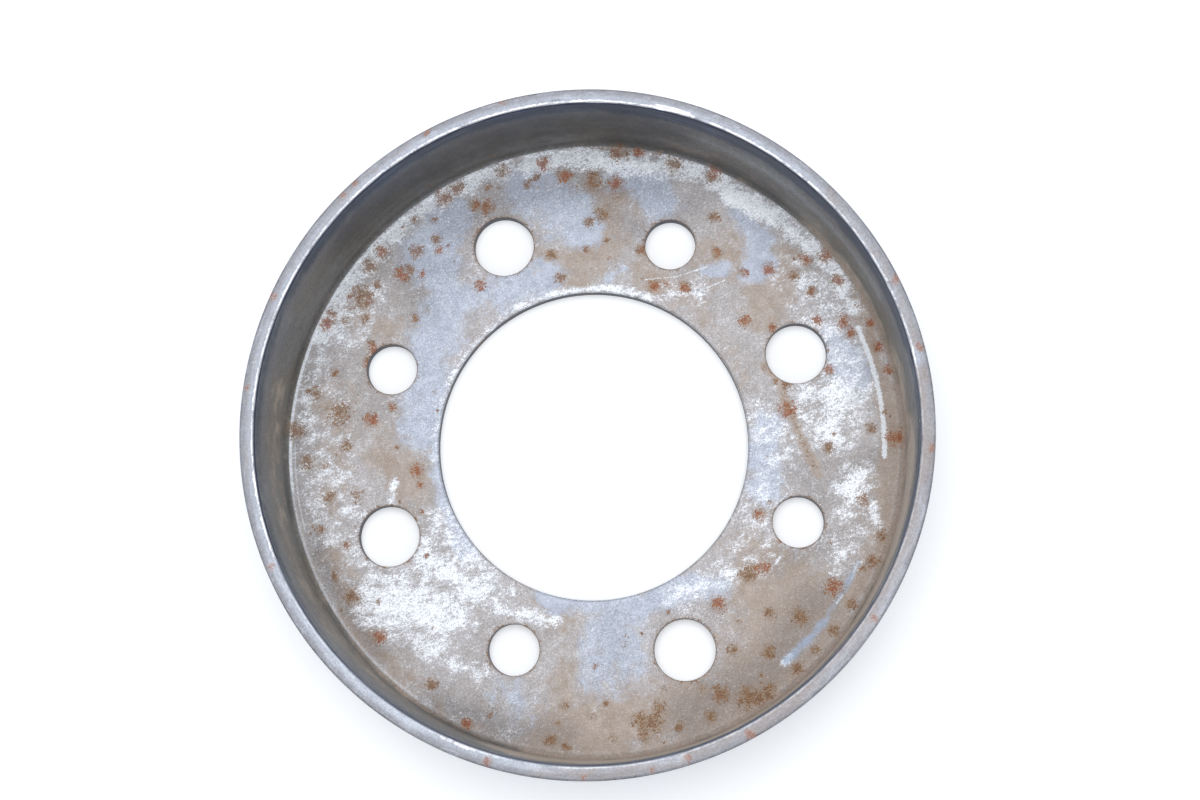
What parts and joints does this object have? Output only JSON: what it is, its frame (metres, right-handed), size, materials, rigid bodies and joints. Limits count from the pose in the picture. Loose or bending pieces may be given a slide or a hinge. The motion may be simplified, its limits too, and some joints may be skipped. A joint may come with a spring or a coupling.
{
  "type": "brake drum",
  "caption": "Shallow pressed steel brake drum, open on one side, with a flat web, a centre bore and two bolt patterns; its inner wall is the shoe track.",
  "frame": {"origin": "centre of the web's outer face, on the drum's axis", "axes": "+Z along the axis, from the web towards the open side; the larger bolt holes lie on X and Y"},
  "size_m": [0.1064, 0.1064, 0.0254],
  "materials": {
    "drum_steel": "bare pressed steel, mottled with blue-grey scale, tan patina, scuffs and rust spots"
  },
  "bodies": {
    "root": {"brake_drum": "drum_steel"}
  },
  "joints": []
}
